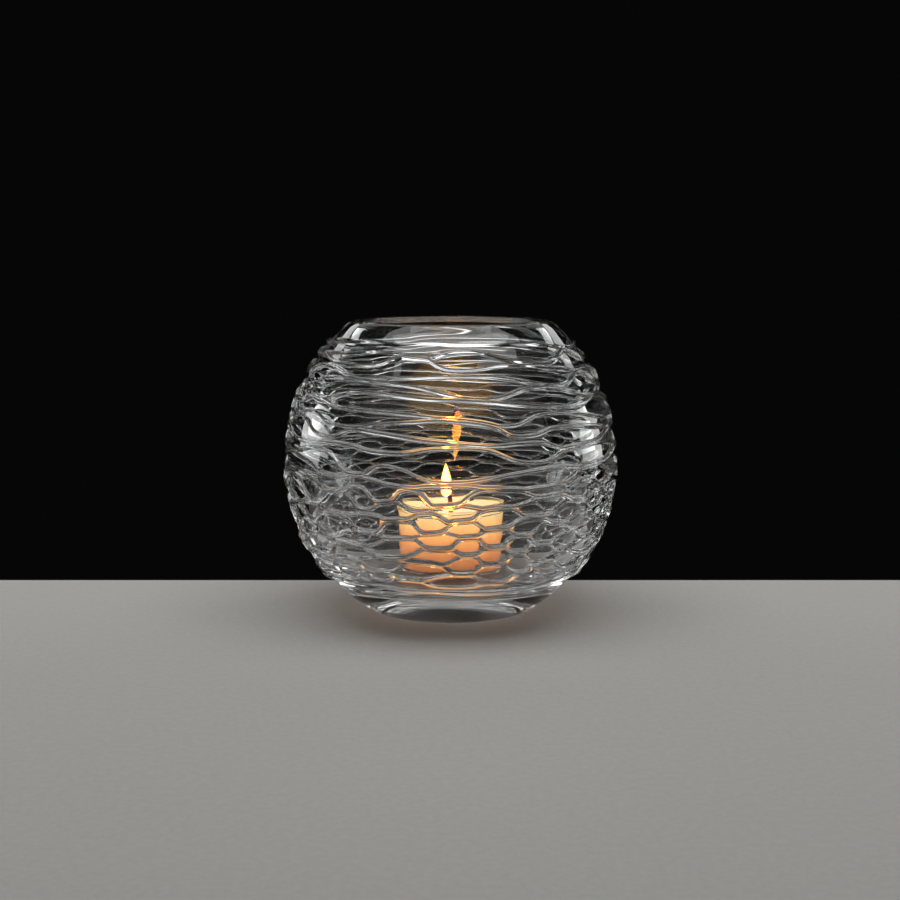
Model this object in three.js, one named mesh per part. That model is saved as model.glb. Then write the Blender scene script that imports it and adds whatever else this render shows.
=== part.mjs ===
// A votive candle holder: a thick globe of clear blown glass, wrapped in a glass thread that was trailed on
// hot and fused into a web, with a tealight standing loose on its floor. Sizes are in millimetres, +Z is up,
// and the origin is the centre of the ground foot.
import * as THREE from "three";

// Bowl, bare of its thread
const BOWL_HEIGHT = 101.5;
const BELLY_DIAMETER = 115;
const BELLY_HEIGHT = 51.5; // of the widest section above the table
const RIM_DIAMETER = 70.4;
const FOOT_DIAMETER = 59;
const RIM_WALL = 7.4;
const BELLY_WALL = 6.5;
const BASE_THICKNESS = 13;
const FLOOR_MARGIN = 17; // flat floor left round the tealight
const RIM_BEVEL = 0.6;
const FOOT_BEVEL = 1.2;
const BOWL_SEGMENTS = 48;
const WALL_STEPS = 6; // along each half of the wall, belly to rim and belly to foot

// Trailed thread
const TRAIL_TURNS = 24;
const TRAIL_WIDTH = 2;
const TRAIL_HEIGHT = 1.5;
const TRAIL_CREST = 1; // width left on top of the bead
const TRAIL_BELOW_RIM = 5.5;
const TRAIL_ABOVE_TABLE = 14;
const TRAIL_SEAT = 0.3; // clearance between the bead's flat back and the bowl
const TRAIL_CROWDING = 0.06; // share by which turns lie wider at the rim and closer at the foot
const SWAY_AT_RIM = 0.34; // how far a turn wanders to either side, in spacings between turns
const SWAY_AT_FOOT = 0.5;
const TRAIL_CALM = 2; // turns over which the sway grows at the rim and dies away at the foot
const TRAIL_TAPER = 0.05; // turns over which the thread thins out at its two ends
const TRAIL_TIP = 0.4; // share of its section left at those ends
const SWAY_FLATNESS = 1.4; // higher keeps neighbouring turns together over a longer stretch
const FUSED_GAP = 0.8; // between the paths of two turns that have run together
const FUSING_FROM = 2.2; // gap below which two hot turns start to draw together
const FUSING_TO = 0.6; // gap below which they come to lie at the fused gap
const SEAM_HEIGHT = 1.1; // of the valley where two turns are fused
const CELL_GAP = 0.2; // least width of a cell between turns that aren't fused
const STEPS_PER_TURN = 55;

// Waves in one turn, from the turn named on. Half a wave over a whole number sets each turn's crests against
// the next turn's troughs, so that the two touch and part again as cells: long ones high up, short ones low.
const TRAIL_WAVES = [
  { fromTurn: 0, waves: 5.5 },
  { fromTurn: 7, waves: 9.5 },
  { fromTurn: 12, waves: 13.5 },
];

// Slow drifts of the wave that keep the cells uneven: swing in radians, rate in cycles a turn.
const TRAIL_DRIFTS = [
  { swing: 1.6, rate: 1.07, start: 0.6 },
  { swing: 1.2, rate: 1.94, start: 2.8 },
  { swing: 0.9, rate: 3.09, start: 5.3 },
  { swing: 0.6, rate: 4.92, start: 3.4 },
];

// Slow swells of the sway, as a share of it.
const TRAIL_SWELLS = [
  { swing: 0.4, rate: 1.37, start: 4.5 },
  { swing: 0.4, rate: 3.4, start: 6.1 },
];

// Slow tilts that neighbouring turns nearly share, so that they don't lie level: swing in spacings.
const TRAIL_TILTS = [
  { swing: 0.5, rate: 1.04, start: 5.8 },
  { swing: 0.25, rate: 2.05, start: 2.5 },
  { swing: 0.16, rate: 3.07, start: 0.7 },
  { swing: 0.1, rate: 1.55, start: 3.8 },
];

// The turns part at the front, level with the flame, and leave one wide clear cell there.
const FRONT = 0.75; // share of a turn at which the thread passes the front
const WINDOW_TURN = 10.25; // middle of the wide cell
const WINDOW_PUSH = 0.6; // in spacings between turns
const WINDOW_WIDTH = 0.075; // to either side, in turns
const WINDOW_REACH = 2.2; // up and down, in turns
const WINDOW_SHARPNESS = 2; // higher pushes the two turns next to the cell as far as those beyond them
const WINDOW_CALM = 0.6; // share of the sway that is lost at the cell's edges
const WINDOW_CALM_REACH = 0.8; // up and down, in turns

// Tealight
const CUP_DIAMETER = 37.6; // at the lip, without its bead
const CUP_FOOT_DIAMETER = 36.6;
const CUP_HEIGHT = 24;
const CUP_WALL = 0.8;
const CUP_FLOOR = 0.8;
const CUP_FOOT_ROUND = 1.2;
const CUP_FOOT_RING = 2.5; // width of the ring that the cup stands on
const CUP_HOLLOW = 0.5; // height of the hollow inside that ring
const LIP_BEAD = 0.4; // how far the lip's bead stands out
const LIP_HEIGHT = 1.4;
const WAX_DROP = 2.6; // from the lip down to the wax
const MENISCUS_RISE = 0.7;
const MENISCUS_WIDTH = 1.6;
const WICK_DIP = 0.5; // melted hollow round the wick
const WICK_DIP_RADIUS = 5;
const SUSTAINER_DIAMETER = 12.5;
const SUSTAINER_SHEET = 0.4;
const NECK_HEIGHT = 6;
const NECK_FLARE = 0.9; // stamped round between disc and neck
const RING_WIDTH = 0.8; // ring on the cup's floor that centres the sustainer
const RING_HEIGHT = 0.7;
const WICK_DIAMETER = 1.8;
const WICK_STANDS = 7; // above the wax
const WICK_LEAN = 1.5; // of the tip, to the left seen from the front
const WICK_BEND = 4.2; // where it starts to bend over, above the wax
const WICK_BEND_LEAN = 0.3;
const FIT = 0.3; // clearance between pieces that touch
const CUP_SEGMENTS = 32;
const SMALL_SEGMENTS = 16;
const WICK_STEPS = 12;
const WICK_SIDES = 8;

// Values that follow from the sizes above
const BELLY_RADIUS = BELLY_DIAMETER / 2;
const RIM_RADIUS = RIM_DIAMETER / 2;
const FOOT_RADIUS = FOOT_DIAMETER / 2;
const FLOOR_RADIUS = CUP_FOOT_DIAMETER / 2 + FLOOR_MARGIN;
const WICK_RADIUS = WICK_DIAMETER / 2;
const NECK_BORE = WICK_RADIUS + FIT;
const NECK_RADIUS = NECK_BORE + SUSTAINER_SHEET;
const SUSTAINER_RADIUS = SUSTAINER_DIAMETER / 2;
const RING_BORE = SUSTAINER_RADIUS + FIT;
const CUP_INSIDE_FLOOR = CUP_HOLLOW + CUP_FLOOR; // above the cup's foot, as is the next one
const WAX_TOP = CUP_HEIGHT - WAX_DROP;

const clearGlass = { color: 0xe9eeee, roughness: 0.03, metalness: 0 };
const finishes = {
  glass_bowl: clearGlass,
  glass_trail: clearGlass,
  tealight_cup: { color: 0xdfe3e4, roughness: 0.12, metalness: 0 },
  wax_fill: { color: 0xf4cf9e, roughness: 0.45, metalness: 0 },
  wick_sustainer: { color: 0xa9abad, roughness: 0.35, metalness: 1 },
  wick: { color: 0x6b4a2c, roughness: 0.9, metalness: 0 },
};

function namedMesh(name, geometry) {
  const mesh = new THREE.Mesh(geometry, new THREE.MeshStandardMaterial(finishes[name]));
  mesh.name = name;
  return mesh;
}

// Turns an outline of [radius, height] points, listed up the outside and down the inside, round the Z axis.
function turned(outline, segments) {
  const points = outline.map(([radius, height]) => new THREE.Vector2(radius, height));
  return new THREE.LatheGeometry(points, segments).rotateX(Math.PI / 2);
}

// The same for a piece with a hole along the axis, whose outline comes back to its first point.
function turnedRing(outline, segments) {
  return turned([...outline, outline[0]], segments);
}

// Half of a wall's section: an ellipse that is widest at the belly and reaches endRadius at endHeight.
function wallHalf(widest, endRadius, endHeight) {
  const endAngle = Math.acos(endRadius / widest) * Math.sign(endHeight - BELLY_HEIGHT);
  const rise = (endHeight - BELLY_HEIGHT) / Math.sin(endAngle);
  return { widest, rise, endAngle };
}

function wallPoint(half, angle) {
  return [half.widest * Math.cos(angle), BELLY_HEIGHT + half.rise * Math.sin(angle)];
}

function wallAngle(half, height) {
  return Math.asin((height - BELLY_HEIGHT) / half.rise);
}

// Length along the wall's section for each radian of its angle.
function wallStretch(half, angle) {
  return Math.hypot(half.widest * Math.sin(angle), half.rise * Math.cos(angle));
}

function wallRun(half, fromAngle, toAngle) {
  const run = [];
  for (let i = 0; i <= WALL_STEPS; i += 1) {
    run.push(wallPoint(half, THREE.MathUtils.lerp(fromAngle, toAngle, i / WALL_STEPS)));
  }
  return run;
}

const outsideBelow = wallHalf(BELLY_RADIUS, FOOT_RADIUS, 0);
const outsideAbove = wallHalf(BELLY_RADIUS, RIM_RADIUS, BOWL_HEIGHT);
const insideBelow = wallHalf(BELLY_RADIUS - BELLY_WALL, FLOOR_RADIUS, BASE_THICKNESS);
const insideAbove = wallHalf(BELLY_RADIUS - BELLY_WALL, RIM_RADIUS - RIM_WALL, BOWL_HEIGHT);

function bowlGeometry() {
  const footAngle = wallAngle(outsideBelow, FOOT_BEVEL);
  const rimAngle = wallAngle(outsideAbove, BOWL_HEIGHT - RIM_BEVEL);
  const mouthAngle = wallAngle(insideAbove, BOWL_HEIGHT - RIM_BEVEL);
  return turned(
    [
      [0, 0],
      [FOOT_RADIUS - FOOT_BEVEL, 0],
      ...wallRun(outsideBelow, footAngle, 0),
      ...wallRun(outsideAbove, 0, rimAngle).slice(1),
      [RIM_RADIUS - RIM_BEVEL, BOWL_HEIGHT],
      [RIM_RADIUS - RIM_WALL + RIM_BEVEL, BOWL_HEIGHT],
      ...wallRun(insideAbove, mouthAngle, 0),
      ...wallRun(insideBelow, 0, insideBelow.endAngle).slice(1),
      [0, BASE_THICKNESS],
    ],
    BOWL_SEGMENTS,
  );
}

// The integral of a smooth step from 0 to 1 that takes one turn.
function easedRamp(turns) {
  if (turns <= 0) {
    return 0;
  }
  return turns < 1 ? turns ** 3 - turns ** 4 / 2 : turns - 0.5;
}

function sumOfSines(waves, turn) {
  return waves.reduce(
    (sum, { swing, rate, start }) => sum + swing * Math.sin(2 * Math.PI * rate * turn + start),
    0,
  );
}

// Waves that the thread has made by a turn, with their slow drifts, as an angle.
function swayPhase(turn) {
  let waves = TRAIL_WAVES[0].waves * turn;
  for (let i = 1; i < TRAIL_WAVES.length; i += 1) {
    const more = TRAIL_WAVES[i].waves - TRAIL_WAVES[i - 1].waves;
    waves += more * easedRamp(turn - TRAIL_WAVES[i].fromTurn);
  }
  return 2 * Math.PI * waves + sumOfSines(TRAIL_DRIFTS, turn);
}

function bell(distance, reach) {
  return Math.exp(-((distance / reach) ** 2));
}

// How far a turn stands aside for the wide cell, in spacings, and the share of its sway that it keeps there.
function windowAt(turn) {
  const passes = Math.round(turn - FRONT);
  const ahead = bell(turn - FRONT - passes, WINDOW_WIDTH);
  const rank = passes + FRONT - WINDOW_TURN;
  return {
    push: WINDOW_PUSH * ahead * Math.tanh(WINDOW_SHARPNESS * rank) * bell(rank, WINDOW_REACH),
    keep: 1 - WINDOW_CALM * ahead * bell(rank, WINDOW_CALM_REACH),
  };
}

function outsideHalf(angle) {
  return angle > 0 ? outsideAbove : outsideBelow;
}

function outsideStretch(angle) {
  return wallStretch(outsideHalf(angle), angle);
}

// The angle on the wall's section at which the thread is laid, from the rim down towards the foot.
function laidAngle(turn) {
  const top = wallAngle(outsideAbove, BOWL_HEIGHT - TRAIL_BELOW_RIM);
  const bottom = wallAngle(outsideBelow, TRAIL_ABOVE_TABLE);
  const calm = THREE.MathUtils.smoothstep(Math.min(turn, TRAIL_TURNS - turn), 0, TRAIL_CALM);
  const swell = 1 + sumOfSines(TRAIL_SWELLS, turn);
  const wave = Math.tanh(SWAY_FLATNESS * Math.sin(swayPhase(turn))) / Math.tanh(SWAY_FLATNESS);
  const { push, keep } = windowAt(turn);
  const swing = THREE.MathUtils.lerp(SWAY_AT_RIM, SWAY_AT_FOOT, turn / TRAIL_TURNS);
  const sway = swing * calm * swell * wave * keep;
  const share = (turn + sway + push + sumOfSines(TRAIL_TILTS, turn)) / TRAIL_TURNS;
  const crowded = (1 + TRAIL_CROWDING) * share - TRAIL_CROWDING * share ** 2;
  return THREE.MathUtils.lerp(top, bottom, crowded);
}

// How far a turn and the next one down each move to the other where they were laid close, in millimetres.
function fusingPull(turn) {
  if (turn < 0 || turn + 1 > TRAIL_TURNS) {
    return 0;
  }
  const upper = laidAngle(turn);
  const lower = laidAngle(turn + 1);
  const gap = ((upper - lower) * (outsideStretch(upper) + outsideStretch(lower))) / 2;
  const apart = THREE.MathUtils.smoothstep(gap, FUSING_TO, FUSING_FROM);
  return ((gap - FUSED_GAP) * (1 - apart)) / 2;
}

// The angle that the thread comes to rest at, drawn to the turns beside it.
function trailAngle(turn) {
  const laid = laidAngle(turn);
  return laid + (fusingPull(turn - 1) - fusingPull(turn)) / outsideStretch(laid);
}

// A point of the thread's path on the bowl, and the bowl's outward direction there.
function trailPoint(turn) {
  const angle = trailAngle(turn);
  const half = outsideHalf(angle);
  const [radius, height] = wallPoint(half, angle);
  const round = 2 * Math.PI * turn;
  const outRadius = Math.cos(angle) / half.widest;
  const outHeight = Math.sin(angle) / half.rise;
  return {
    point: new THREE.Vector3(radius * Math.cos(round), radius * Math.sin(round), height),
    out: new THREE.Vector3(outRadius * Math.cos(round), outRadius * Math.sin(round), outHeight).normalize(),
  };
}

// The thread at a turn: a point of its path with the directions out of the bowl and across the thread, and
// the share of the full section that it has there.
function trailSample(turn) {
  const { point, out } = trailPoint(turn);
  const nudge = 1e-4;
  const along = trailPoint(turn + nudge).point.sub(trailPoint(turn - nudge).point).normalize();
  const across = new THREE.Vector3().crossVectors(out, along);
  const toEnd = Math.min(turn, TRAIL_TURNS - turn);
  const size = THREE.MathUtils.lerp(TRAIL_TIP, 1, THREE.MathUtils.smoothstep(toEnd, 0, TRAIL_TAPER));
  return { point, out, across, size };
}

// Where each sample is fused to the one a turn further down: the two are closer than a bead is wide, and so
// are the two on at least one side of them.
function fusedSamples(samples) {
  const near = samples.map((sample, i) => {
    const below = samples[i + STEPS_PER_TURN];
    return below !== undefined && sample.point.distanceTo(below.point) < TRAIL_WIDTH + CELL_GAP;
  });
  return near.map((touches, i) => touches && (near[i - 1] || near[i + 1]) === true);
}

// The two corners that a bead has on one side, on its back and at its crest. Towards the rim is 1, towards
// the foot is -1. Two fused turns have the same two corners, halfway between them.
function beadSide(sample, neighbour, isFused, side) {
  if (isFused) {
    const middle = sample.point.clone().add(neighbour.point).multiplyScalar(0.5);
    const out = sample.out.clone().add(neighbour.out).normalize();
    return [
      middle.clone().addScaledVector(out, TRAIL_SEAT),
      middle.clone().addScaledVector(out, SEAM_HEIGHT),
    ];
  }
  const room = neighbour ? sample.point.distanceTo(neighbour.point) - CELL_GAP : TRAIL_WIDTH;
  const half = (sample.size * Math.min(TRAIL_WIDTH, room)) / 2;
  const corner = (reach, height) =>
    sample.point
      .clone()
      .addScaledVector(sample.across, side * reach)
      .addScaledVector(sample.out, TRAIL_SEAT + sample.size * height);
  return [corner(half, 0), corner((half * TRAIL_CREST) / TRAIL_WIDTH, TRAIL_HEIGHT)];
}

// The whole thread in one body: it runs on from turn to turn, and where two turns are fused the walls
// between them are left out.
function trailGeometry() {
  const samples = [];
  for (let i = 0; i <= TRAIL_TURNS * STEPS_PER_TURN; i += 1) {
    samples.push(trailSample(i / STEPS_PER_TURN));
  }
  const fused = fusedSamples(samples);
  const isFused = (i) => fused[i] === true;
  const corners = samples.flatMap((sample, i) => {
    const above = i - STEPS_PER_TURN;
    const below = i + STEPS_PER_TURN;
    const [footBack, footCrest] = beadSide(sample, samples[below], isFused(i), -1);
    const [rimBack, rimCrest] = beadSide(sample, samples[above], isFused(above), 1);
    return [footBack, rimBack, rimCrest, footCrest];
  });
  const sides = 4;
  const rimWall = 1;
  const footWall = 3;
  const index = [];
  for (let i = 0; i + 1 < samples.length; i += 1) {
    for (let side = 0; side < sides; side += 1) {
      const pair = side === rimWall ? i - STEPS_PER_TURN : i;
      const isWall = side === rimWall || side === footWall;
      if (isWall && isFused(pair) && isFused(pair + 1)) {
        continue;
      }
      const a = i * sides + side;
      const b = i * sides + ((side + 1) % sides);
      index.push(a, b, b + sides, a, b + sides, a + sides);
    }
  }
  const last = corners.length - sides;
  for (let side = 1; side + 1 < sides; side += 1) {
    index.push(0, side + 1, side);
    index.push(last, last + side, last + side + 1);
  }
  return new THREE.BufferGeometry().setFromPoints(corners).setIndex(index);
}

// Inside radius of the cup's drafted wall at a height above its foot.
function cupInside(height) {
  return THREE.MathUtils.lerp(CUP_FOOT_DIAMETER / 2, CUP_DIAMETER / 2, height / CUP_HEIGHT) - CUP_WALL;
}

function cupGeometry() {
  const footRadius = CUP_FOOT_DIAMETER / 2;
  const lipRadius = CUP_DIAMETER / 2;
  const ringOutside = RING_BORE + RING_WIDTH;
  const lipFoot = CUP_HEIGHT - LIP_HEIGHT;
  return turned(
    [
      [0, CUP_HOLLOW],
      [footRadius - CUP_FOOT_RING - CUP_HOLLOW, CUP_HOLLOW],
      [footRadius - CUP_FOOT_RING, 0],
      [footRadius - CUP_FOOT_ROUND, 0],
      [footRadius - CUP_FOOT_ROUND * (1 - Math.SQRT1_2), CUP_FOOT_ROUND * (1 - Math.SQRT1_2)],
      [cupInside(CUP_FOOT_ROUND) + CUP_WALL, CUP_FOOT_ROUND],
      [cupInside(lipFoot - LIP_BEAD) + CUP_WALL, lipFoot - LIP_BEAD],
      [lipRadius + LIP_BEAD, lipFoot],
      [lipRadius + LIP_BEAD, CUP_HEIGHT - LIP_BEAD],
      [lipRadius, CUP_HEIGHT],
      [cupInside(CUP_HEIGHT), CUP_HEIGHT],
      [cupInside(CUP_INSIDE_FLOOR + CUP_FOOT_ROUND), CUP_INSIDE_FLOOR + CUP_FOOT_ROUND],
      [cupInside(CUP_INSIDE_FLOOR) - CUP_FOOT_ROUND, CUP_INSIDE_FLOOR],
      [ringOutside, CUP_INSIDE_FLOOR],
      [ringOutside, CUP_INSIDE_FLOOR + RING_HEIGHT],
      [RING_BORE, CUP_INSIDE_FLOOR + RING_HEIGHT],
      [RING_BORE, CUP_INSIDE_FLOOR],
      [0, CUP_INSIDE_FLOOR],
    ],
    CUP_SEGMENTS,
  );
}

function waxGeometry() {
  const bottom = CUP_INSIDE_FLOOR + FIT;
  const ringClear = RING_BORE + RING_WIDTH + FIT;
  const ringTop = CUP_INSIDE_FLOOR + RING_HEIGHT + FIT;
  const flareTop = CUP_INSIDE_FLOOR + SUSTAINER_SHEET + NECK_FLARE + FIT;
  const neckTop = CUP_INSIDE_FLOOR + NECK_HEIGHT + FIT;
  const neckClear = NECK_RADIUS + FIT;
  return turnedRing(
    [
      [ringClear, bottom],
      [cupInside(bottom) - CUP_FOOT_ROUND - FIT, bottom],
      [cupInside(bottom + CUP_FOOT_ROUND) - FIT, bottom + CUP_FOOT_ROUND],
      [cupInside(WAX_TOP) - FIT, WAX_TOP + MENISCUS_RISE],
      [cupInside(WAX_TOP) - FIT - MENISCUS_WIDTH / 3, WAX_TOP + MENISCUS_RISE / 3],
      [cupInside(WAX_TOP) - FIT - MENISCUS_WIDTH, WAX_TOP],
      [WICK_DIP_RADIUS, WAX_TOP],
      [WICK_DIP_RADIUS / 2, WAX_TOP - WICK_DIP],
      [NECK_BORE, WAX_TOP - WICK_DIP],
      [NECK_BORE, neckTop],
      [neckClear, neckTop],
      [neckClear, flareTop],
      [neckClear + NECK_FLARE, ringTop],
      [ringClear, ringTop],
    ],
    CUP_SEGMENTS,
  );
}

// Stamped disc with a neck drawn up from it, which is crimped round the wick.
function sustainerGeometry() {
  const sheetTop = CUP_INSIDE_FLOOR + SUSTAINER_SHEET;
  return turnedRing(
    [
      [NECK_BORE, CUP_INSIDE_FLOOR],
      [SUSTAINER_RADIUS, CUP_INSIDE_FLOOR],
      [SUSTAINER_RADIUS, sheetTop],
      [NECK_RADIUS + NECK_FLARE, sheetTop],
      [NECK_RADIUS, sheetTop + NECK_FLARE],
      [NECK_RADIUS, CUP_INSIDE_FLOOR + NECK_HEIGHT],
      [NECK_BORE, CUP_INSIDE_FLOOR + NECK_HEIGHT],
    ],
    SMALL_SEGMENTS,
  );
}

// Straight through the neck and the wax, then bent over at the tip as a burning wick is.
function wickGeometry() {
  const path = new THREE.CatmullRomCurve3([
    new THREE.Vector3(0, 0, CUP_INSIDE_FLOOR),
    new THREE.Vector3(0, 0, (CUP_INSIDE_FLOOR + WAX_TOP) / 2),
    new THREE.Vector3(0, 0, WAX_TOP),
    new THREE.Vector3(-WICK_BEND_LEAN, 0, WAX_TOP + WICK_BEND),
    new THREE.Vector3(-WICK_LEAN, 0, WAX_TOP + WICK_STANDS),
  ]);
  const round = new THREE.EllipseCurve(0, 0, WICK_RADIUS, WICK_RADIUS);
  const section = new THREE.Shape(round.getPoints(WICK_SIDES).slice(0, WICK_SIDES));
  return new THREE.ExtrudeGeometry(section, {
    extrudePath: path,
    steps: WICK_STEPS,
    bevelEnabled: false,
  });
}

const tealight = new THREE.Group();
tealight.position.z = BASE_THICKNESS;
tealight.add(namedMesh("tealight_cup", cupGeometry()));
tealight.add(namedMesh("wax_fill", waxGeometry()));
tealight.add(namedMesh("wick_sustainer", sustainerGeometry()));
tealight.add(namedMesh("wick", wickGeometry()));

const holder = new THREE.Group();
holder.add(namedMesh("glass_bowl", bowlGeometry()));
holder.add(namedMesh("glass_trail", trailGeometry()));
holder.add(tealight);

export default holder;
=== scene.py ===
"""Looks of a votive candle holder: a heavy globe of clear blown glass, wrapped in a web of glass thread that
was trailed on hot and melted together, with a lit tealight in a clear cup. Sizes are in millimetres until a
mesh is made, +Z is up, and the front is towards -Y."""
import math

import bpy
import numpy as np
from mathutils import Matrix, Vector


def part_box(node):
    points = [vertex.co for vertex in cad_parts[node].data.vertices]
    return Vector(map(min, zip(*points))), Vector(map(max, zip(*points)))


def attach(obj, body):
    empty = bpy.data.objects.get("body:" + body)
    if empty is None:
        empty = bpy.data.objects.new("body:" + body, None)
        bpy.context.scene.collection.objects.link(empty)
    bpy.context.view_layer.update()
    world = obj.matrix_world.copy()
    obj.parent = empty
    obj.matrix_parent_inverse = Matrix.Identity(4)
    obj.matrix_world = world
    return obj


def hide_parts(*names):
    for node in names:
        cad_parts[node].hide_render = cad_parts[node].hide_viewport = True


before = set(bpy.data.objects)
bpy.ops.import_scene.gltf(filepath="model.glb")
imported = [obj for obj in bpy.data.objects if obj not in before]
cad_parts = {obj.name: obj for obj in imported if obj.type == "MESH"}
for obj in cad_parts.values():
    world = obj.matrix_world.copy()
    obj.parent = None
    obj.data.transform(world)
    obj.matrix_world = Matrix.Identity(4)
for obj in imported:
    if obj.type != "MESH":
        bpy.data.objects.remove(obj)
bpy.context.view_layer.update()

MM = 0.001  # a millimetre in metres
FULL_TURN = 2 * math.pi


def node_box(node):
    """Lowest and highest corner of a CAD node, in millimetres."""
    return [np.array(corner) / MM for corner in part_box(node)]


_, bowl_high = node_box("glass_bowl")
cup_low, cup_high = node_box("tealight_cup")
_, wick_high = node_box("wick")

# Bowl
BELLY_RADIUS = float(bowl_high[0])
RIM_HEIGHT = float(bowl_high[2])
BELLY_HEIGHT = 51.5
RIM_RADIUS = 35.2
FOOT_RADIUS = 29.5
RIM_WALL = 7.4
BELLY_WALL = 6.5
FLOOR_HEIGHT = float(cup_low[2])
FLOOR_RADIUS = 35.3
RIM_ROUND = 0.8
FOOT_ROUND = 1.6
FLOOR_ROUND = 5.0
COLLAR_HEIGHT = 99.0  # top of the zone that the thread may reach
SKIRT_HEIGHT = 6.5  # bottom of that zone
RIM_START = 1.6  # below the rim, where its edge starts on either wall
INSIDE_START = 2.6  # below the rim, where the rings of the inside wall start
INSIDE_END = 5.2  # above the floor, where they end
INSIDE_RINGS = 32
FLOOR_RINGS = (FLOOR_RADIUS - 8, 14.0)  # radii of the rings on the flat of the floor
FOOT_TOP = 4.8  # height of the ring between the skirt and the foot's edge
FOOT_START = 3.0  # height at which that edge starts
FOOT_RINGS = (FOOT_RADIUS - 4, 10.0)  # radii of the rings under the foot
HAND_BLOWN = 0.16  # how far the blown wall strays from true round
INSIDE_STRAY = 1.6  # times that, half way down the inside
FOOT_STRAY = 0.5  # times that, close to the foot
# Share of that, lobes round the bowl, climb in a radian, and start
STRAYS = [(0.5, 2, 31.0, 0.6), (0.35, 3, -19.0, 2.2), (0.3, 7, 9.0, 4.1)]

# Trailed thread
TURNS = 24
COLUMNS = 270  # points round the bowl
THREAD_TOP = RIM_HEIGHT - 5.5
THREAD_BOTTOM = 14.0
WAVES_AT_TOP = 5.5  # sways up and down in a turn
MORE_WAVES = [(7, 4), (12, 4)]  # a turn, and how many more there are below it
SWAY_TOP, SWAY_FOOT = 0.34, 0.5  # of the spacing of the turns
SWAY_FLATNESS = 1.4
CROWDING = 0.06  # how much closer the turns lie towards the foot
CALM_TURNS = 2.0  # over which the sway comes and goes at the thread's two ends
TAPER_TURNS = 0.06  # over which those ends are drawn out
TIP_SIZE = 0.25  # of the bead, at the very end
FUSED_GAP = 0.8  # between two turns that have run together
FUSING_FROM = 2.2  # gap below which two hot turns start to draw together
FUSING_TO = 0.6  # gap below which they come to lie at the fused gap
FRONT = 0.75  # of a turn, where the thread passes the front
WINDOW_TURN = 10.25  # the turns part here, for a wide clear cell in front of the flame
WINDOW_PUSH = 0.6  # of the spacing of the turns
WINDOW_SHARPNESS = 2.0  # a higher value pushes the nearest turns more
WINDOW_WIDTH = 0.075  # of a turn, to either side
WINDOW_REACH = 2.2  # turns up and down
WINDOW_CALM = 0.6  # how much of their sway the nearest turns lose
WINDOW_CALM_REACH = 0.8  # turns up and down
BEAD_HALF_WIDTH = 0.6
BEAD_HEIGHT = 1.4
BEAD_WAIST = 0.85  # of the half width, where the bead is down to about a third of its height
BEAD_STEEPNESS = 3.6
BEAD_STEPS = np.array([0.4, 0.74, 1.0, 1.32, 1.55])  # across half a bead, in half widths
BEAD_REACH = 1.68  # half widths kept for one bead
MELTING = 3.0  # a lower value melts neighbouring threads together more
FAR = 1000.0  # stands for no thread on that side
# Slow waves along the thread: how much, how many in a turn, and where they start
DRIFTS = [(1.6, 1.07, 0.6), (1.2, 1.94, 2.8), (0.9, 3.09, 5.3), (0.6, 4.92, 3.4)]  # of the sway's place
TILTS = [(0.5, 1.04, 5.8), (0.25, 2.05, 2.5), (0.16, 3.07, 0.7), (0.1, 1.55, 3.8)]  # of the turn's height
SWELLS = [(0.4, 1.37, 4.5), (0.4, 3.4, 6.1)]  # of the sway's height
THICKNESS_WAVES = [(0.12, 2.31, 0.3), (0.1, 5.17, 1.9), (0.07, 11.3, 4.0)]  # of the bead's size

# Tealight, with heights above the floor of the bowl
TEALIGHT_SIDES = 96  # points round the cup and the wax
CUP_RADIUS = 18.8
CUP_FOOT_RADIUS = 18.3
CUP_HEIGHT = float(cup_high[2] - cup_low[2])
CUP_WALL = 0.8
CUP_INSIDE_FLOOR = 1.3
CUP_HOLLOW = 0.5  # depth of the hollow under the cup
CUP_STAND = 2.5  # width of the ring that the cup stands on
LIP_RADIUS = float(cup_high[0])
LIP_HEIGHT = 1.4
LIP_SLOPE = 0.4  # height of the slope under the lip
SEAT_GAP = 0.3  # between the sustainer and the ring on the cup's floor
SEAT_WIDTH = 0.8
SEAT_HEIGHT = 0.7
WAX_TOP = CUP_HEIGHT - 2.6
WAX_GRIP = 0.02  # poured wax wets the cup, so no air lies between them
WAX_GAP = 0.1  # between the wax and what it covers on the cup's floor
MENISCUS_RISE = 0.7
MENISCUS_WIDTH = 1.6
POOL_RADIUS = 5.0
POOL_DEPTH = 0.5
POOL_PAINTED_GLOW = 0.18  # how much more painted glow the wax has at the wick than at its edge
PAINTED_GLOW_MOTTLE = 0.12  # how uneven that painted glow is
WET_DEPTH = 1.5  # below the top of the wax, where it turns from wet to dry
SUSTAINER_SIDES = 64
SUSTAINER_RADIUS = 6.25
SUSTAINER_SHEET = 0.4
NECK_HEIGHT = 6.0
NECK_BORE = 1.2
NECK_RADIUS = NECK_BORE + SUSTAINER_SHEET
FLARE_WIDTH, FLARE_HEIGHT = 1.2, 1.5  # room in the wax for the round at the foot of the neck
CRIMPS = 4
CRIMP_SHARPNESS = 8
CRIMP_DEPTH = 0.22
CRIMP_HEIGHT = 4.4  # above the foot of the neck
CRIMP_LENGTH = 0.8
CRIMP_FADE = 2.0  # the crimps start this high, and are full as much higher again
CRIMP_REACH = 0.2  # outside the neck, beyond which the disc stays as it is
WICK_LEAN = 1.5
WICK_STANDS = 7.0
WICK_BEND = 2.6  # a higher value bends the wick nearer its tip
WICK_TRIM = 0.2  # off the tip, so that the strands' ends stay inside the CAD wick
WICK_POINTS = 40
CHAR_MOTTLE = 0.2  # how uneven the edge of the char is
STRANDS = 3
STRAND_RADIUS = 0.44
STRAND_SIDES = 10
STRAND_POINTS = 120
BRAID_RADIUS = 0.46
BRAID_PITCH = 3.6
FLAME_TOP = 37.8
FLAME_BASE = 25.6
FLAME_RADIUS = 2.1
FLAME_POINTS = 40
FLAME_SIDES = 48
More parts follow.
